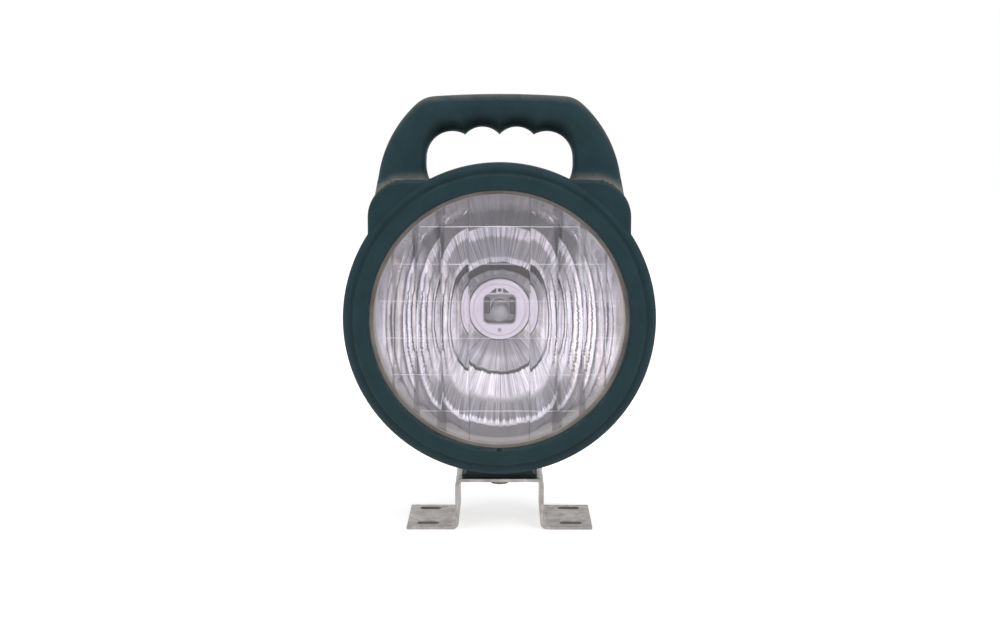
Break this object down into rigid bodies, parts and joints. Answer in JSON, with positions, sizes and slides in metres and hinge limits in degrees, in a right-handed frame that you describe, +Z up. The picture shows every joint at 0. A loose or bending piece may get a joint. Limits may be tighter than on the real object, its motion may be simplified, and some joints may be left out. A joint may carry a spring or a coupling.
{
  "type": "work lamp",
  "caption": "Round rubber-cased work lamp with a fluted glass lens, a finger-grip carrying handle and a rear switch, swivelling on a bent steel bracket with slotted feet.",
  "frame": {"origin": "on the swivel axis, in the mounting plane under the bracket's feet, at the centre of the slot pattern", "axes": "+X to the right as seen from the front, +Y to the rear (the lens faces -Y), +Z up along the swivel bolt"},
  "size_m": [0.173, 0.1291, 0.244],
  "materials": {
    "galvanised_steel": "dull galvanised strip, mottled",
    "case_rubber": "blue-green black rubber, satin",
    "bezel_rubber": "blue-green black rubber, satin",
    "handle_rubber": "blue-green black rubber, satin with dust",
    "zinc_steel": "zinc plated",
    "spring_steel": "plain spring steel",
    "brass": "turned",
    "lens_glass": "clear pressed glass with upright flutes inside",
    "seal_rubber": "brown-grey soft rubber",
    "mirror_coat": "bright vacuum coat",
    "bright_steel": "bright tinned",
    "bulb_glass": "clear",
    "tungsten": "dull",
    "lead_cover": "smooth",
    "switch_nickel": "nickel plated",
    "gland_nylon": "black, matt"
  },
  "bodies": {
    "bracket": {"bracket": "galvanised_steel"},
    "head": {"rear_housing": "case_rubber", "front_bezel": "bezel_rubber", "carry_handle": "handle_rubber", "bezel_screws": "zinc_steel", "bezel_inserts": "brass", "lens": "lens_glass", "lens_seal": "seal_rubber", "reflector": "mirror_coat", "bulb_holder": "bright_steel", "bulb_base": "bright_steel", "bulb_glass": "bulb_glass", "bulb_filament": "tungsten", "bulb_clip": "spring_steel", "clip_screw": "zinc_steel", "earth_tag": "brass", "bulb_lead": "lead_cover", "switch_body": "switch_nickel", "switch_seal": "seal_rubber", "switch_nut": "switch_nickel", "cable_gland": "gland_nylon", "gland_seal": "seal_rubber", "gland_cap": "gland_nylon", "gland_locknut": "gland_nylon", "foot_sleeve": "zinc_steel", "pivot_bolt": "zinc_steel", "seat_washer": "zinc_steel", "plate_washer": "zinc_steel", "spring_washer": "spring_steel", "pivot_nut": "zinc_steel"},
    "switch_lever": {"switch_lever": "switch_nickel"}
  },
  "joints": [
    {"name": "head_swivel", "type": "hinge", "parent": "bracket", "child": "head", "pos_m": [0, 0, 0.0294], "axis": [0, 0, 1], "range_deg": [-180, 180]},
    {"name": "switch_toggle", "type": "hinge", "parent": "head", "child": "switch_lever", "pos_m": [0, 0.06706, 0.138], "axis": [1, 0, 0], "range_deg": [0, 24]}
  ]
}
